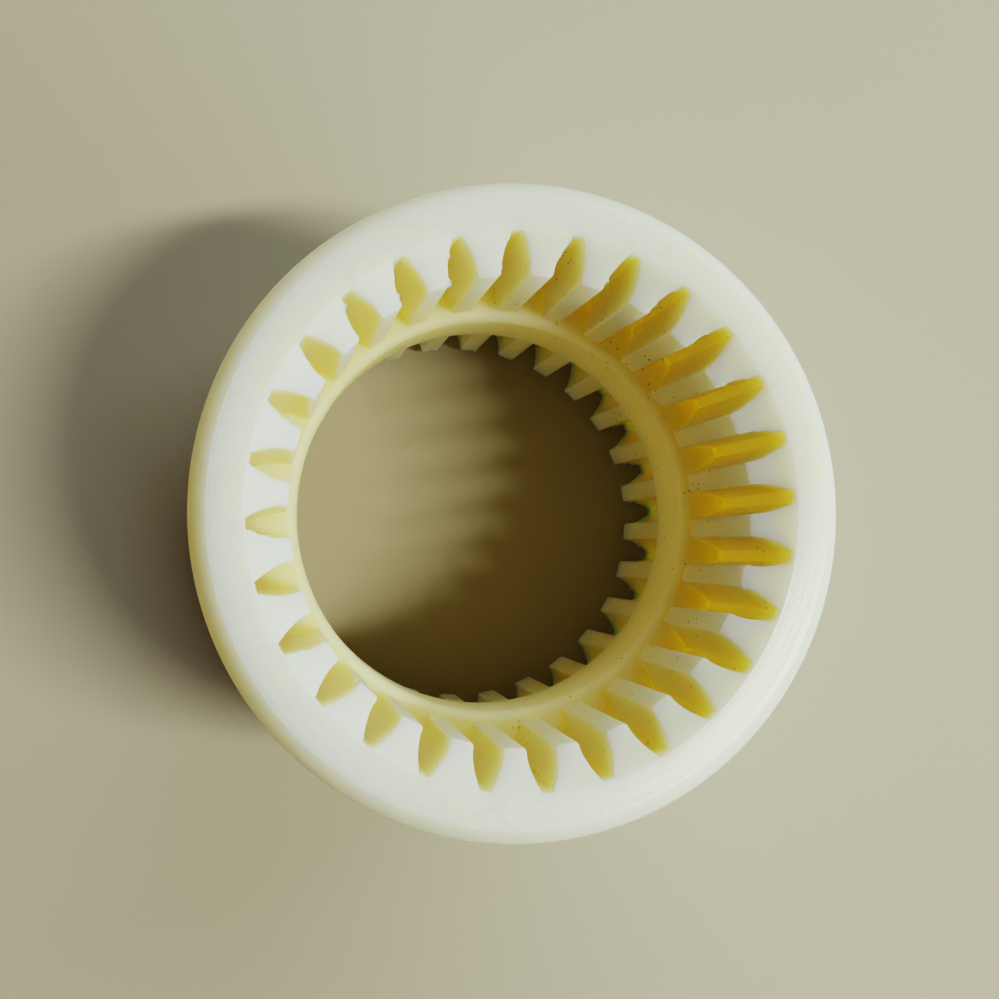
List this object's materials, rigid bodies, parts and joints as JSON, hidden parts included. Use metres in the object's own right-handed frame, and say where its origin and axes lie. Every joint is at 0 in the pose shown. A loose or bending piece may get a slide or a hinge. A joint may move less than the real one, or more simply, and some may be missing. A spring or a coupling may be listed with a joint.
{
  "type": "gear coupling sleeve",
  "caption": "Short tube with a ring of internal teeth at each end and a web between them, which joins two toothed shaft hubs.",
  "frame": {"origin": "on the axis, in the middle of the web, halfway between the end faces", "axes": "+Z along the axis of the sleeve; +X through the middle of a tooth space of both toothed ends"},
  "size_m": [0.0546, 0.0546, 0.041],
  "materials": {
    "natural_nylon": "satin, slightly translucent natural polyamide with fine turning marks on the end faces"
  },
  "bodies": {
    "root": {"coupling_sleeve": "natural_nylon"}
  },
  "joints": []
}
